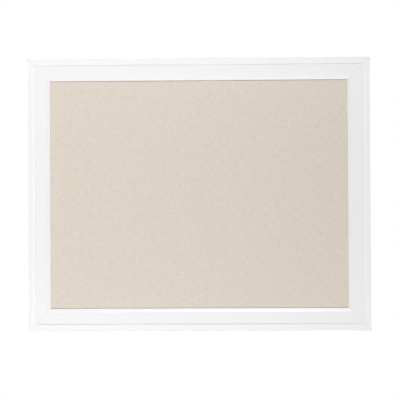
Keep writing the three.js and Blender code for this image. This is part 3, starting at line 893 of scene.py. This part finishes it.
class MEMOBOARD_OT_bumpers(Operator):
    """Two rubber bumpers that keep the lower edge off the wall"""

    bl_idname = "memo_board.bumpers"
    bl_label = "Wall bumpers"

    def execute(self, context):
        sizes = context.scene.memo_board.hardware
        finish = moulded_rubber(sizes)
        foot, foot_edge, wall_edge, draft = BACK_PLANE + 0.02 * MM, 0.3 * MM, 1.1 * MM, 0.3 * MM
        for hand in HANDS:
            node = hand + "_wall_bumper"
            low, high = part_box(node)
            # A turned profile with a small foot edge, drawn-in sides and a round edge on the wall face
            radius = sizes.bumper_radius
            corners = [(0, foot), (radius, foot), (radius - draft, high.y), (0, high.y)]
            profile = rounded(corners, [foot_edge, wall_edge], closed=False)
            grid = lathe(profile[:, :1], profile[:, 1:], full_turn(48))
            grid = grid + np.array([(low.x + high.x) / 2, 0, (low.z + high.z) / 2])
            fit(make_piece(node + "_foot", [grid], finish), "board", "bumper_rubber", node)
        return {"FINISHED"}


# Stage


class MEMOBOARD_OT_stage(Operator):
    """Camera, soft lamps, white surroundings and a pale floor"""

    bl_idname = "memo_board.stage"
    bl_label = "Stage"

    def execute(self, context):
        stage = context.scene.memo_board.stage
        context.scene.view_settings.view_transform = "Standard"
        self.camera(context, stage)
        self.surroundings(context, stage)
        self.floor(stage)
        # Two long lamps in front, above and below, where the lips mirror them to the camera, are aimed past
        # the board's left side, so that the light falls off towards the right. Lamps behind the board's plane
        # light its back and outer edges and leave the front alone. Those at the sides are close to the plane,
        # so that they also catch the steps of the stiles
        for name, place, aim, size, spread, watts in (
            ("upper_lamp", (-0.02, -2.38, 1.77), (-0.5, 0, 1.5), (1.7, 0.5), 119, stage.upper_lamp),
            ("lower_lamp", (-0.29, -2.38, -1.64), (-0.5, 0, -1.5), (3.0, 0.5), 119, stage.lower_lamp),
            ("back_lamp", (-0.5, 2.4, 1.3), (0, 0, 0), (3.0, 1.5), 180, stage.fill),
            ("left_lamp", (-2.6, 0.22, 0.2), (0, 0, 0), (0.4, 1.6), 180, stage.side_fill),
            ("right_lamp", (2.6, 0.22, 0.2), (0, 0, 0), (0.4, 1.6), 180, stage.side_fill),
        ):
            data = bpy.data.lights.new(name, "AREA")
            data.shape, data.size, data.size_y = "RECTANGLE", *size
            data.spread = math.radians(spread)
            data.energy = watts
            lamp = bpy.data.objects.new(name, data)
            context.scene.collection.objects.link(lamp)
            turn = (Vector(aim) - Vector(place)).to_track_quat("-Z", "Y").to_matrix().to_4x4()
            lamp.matrix_world = Matrix.Translation(place) @ turn
            lamp.visible_camera = False
        return {"FINISHED"}

    def camera(self, context, stage):
        """The camera looks along +Y, rolled about its own axis and then turned by its pitch and its yaw."""
        pitch, roll, yaw = stage.camera_turn
        data = bpy.data.cameras.new("camera")
        data.lens = stage.lens
        data.sensor_width = 36
        camera = bpy.data.objects.new("camera", data)
        context.scene.collection.objects.link(camera)
        level = Matrix.Rotation(math.pi / 2 + pitch, 4, "X") @ Matrix.Rotation(roll, 4, "Z")
        turn = Matrix.Rotation(-yaw, 4, "Z") @ level
        camera.matrix_world = Matrix.Translation(stage.camera_place) @ turn
        context.scene.camera = camera

    def surroundings(self, context, stage):
        """White to the camera and to reflections, turning a pale grey well below the horizon, and a plain
        even light to everything else."""
        world = bpy.data.worlds.new("surroundings")
        world.use_nodes = True
        world.node_tree.nodes.clear()
        add = partial(add_node, world.node_tree)
        direction = add("TexCoord").outputs["Generated"]
        height = add("SeparateXYZ", [direction]).outputs["Z"]
        # The grey sets in 13 degrees below the horizon, out of the camera's sight, and is full at 30 degrees
        pale = add("MapRange", {"Value": height, "From Min": -0.23, "From Max": -0.5, "To Min": 1.0,
                                "To Max": stage.ground}, interpolation_type="SMOOTHSTEP")
        strength = add("MapRange", {"Value": seen_directly(add), "To Min": stage.ambient, "To Max": pale})
        light = add("Background", {"Color": (1, 1, 1, 1), "Strength": strength})
        add("OutputWorld", {"Surface": light})
        context.scene.world = world

    def floor(self, stage):
        """A round floor that fades into the surroundings towards its rim: x = r cos a, y = r sin a."""
        rim, fade_start, fade_end = 3.0, 1.0, 2.9
        finish, add = new_finish("pale floor")
        place = add("TexCoord").outputs["Object"]
        flat = add("VectorMath", [place, (1, 1, 0)], operation="MULTIPLY")
        out = add("VectorMath", [flat], operation="LENGTH")
        fade = add("MapRange", {"Value": out, "From Min": fade_start, "From Max": fade_end},
                   interpolation_type="SMOOTHSTEP")
        # A faint speckle, some 40 mm across
        speckle = add("TexNoise", {"Vector": place, "Scale": per(40), "Detail": 3.0})
        tone = add("Mix", {0: speckle, 6: rgba(stage.floor_tone), 7: rgba(stage.floor_tone, 0.985)},
                   data_type="RGBA")
        glow = add("Math", [seen_directly(add), stage.floor_glow], operation="MULTIPLY")
        cover = add("BsdfPrincipled", {"Base Color": tone, "Roughness": 0.9, "Emission Color": (1, 1, 1, 1),
                                       "Emission Strength": glow})
        clear = add("BsdfTransparent")
        mixed = add("MixShader", [fade, cover, clear])
        add("OutputMaterial", {"Surface": mixed})
        radius, angle = np.linspace(0, rim, 31)[:, None], full_turn(72)
        grid = combine(radius * np.cos(angle), radius * np.sin(angle), -stage.floor_drop)
        make_piece("floor", [grid], finish)


def seen_directly(add):
    """1 for camera, glossy and transmission rays, otherwise 0."""
    path = add("LightPath")
    first = add("Math", [path.outputs["Is Camera Ray"], path.outputs["Is Glossy Ray"]],
                operation="MAXIMUM")
    return add("Math", [first, path.outputs["Is Transmission Ray"]], operation="MAXIMUM")


class MEMOBOARD_PT_panel(Panel):
    """Lists the pieces of the memo board"""

    bl_idname = "MEMOBOARD_PT_panel"
    bl_label = "Memo Board"
    bl_space_type = "VIEW_3D"
    bl_region_type = "UI"
    bl_category = "Memo Board"

    def draw(self, context):
        for operator in OPERATORS:
            self.layout.operator(operator.bl_idname)


OPERATORS = (
    MEMOBOARD_OT_moulding,
    MEMOBOARD_OT_linen,
    MEMOBOARD_OT_panels,
    MEMOBOARD_OT_framing_points,
    MEMOBOARD_OT_corner_nails,
    MEMOBOARD_OT_hangers,
    MEMOBOARD_OT_bumpers,
    MEMOBOARD_OT_stage,
)
SETTINGS = (MouldingSettings, LinenSettings, HardwareSettings, StageSettings, MemoBoardSettings)
CLASSES = (*SETTINGS, *OPERATORS, MEMOBOARD_PT_panel)


def register():
    for item in CLASSES:
        bpy.utils.register_class(item)
    bpy.types.Scene.memo_board = PointerProperty(type=MemoBoardSettings)


def unregister():
    del bpy.types.Scene.memo_board
    for item in reversed(CLASSES):
        bpy.utils.unregister_class(item)


def main():
    register()
    bpy.ops.memo_board.moulding()
    bpy.ops.memo_board.linen()
    bpy.ops.memo_board.panels()
    bpy.ops.memo_board.framing_points()
    bpy.ops.memo_board.corner_nails()
    bpy.ops.memo_board.hangers()
    bpy.ops.memo_board.bumpers()
    bpy.ops.memo_board.stage()


if __name__ == "__main__":
    main()
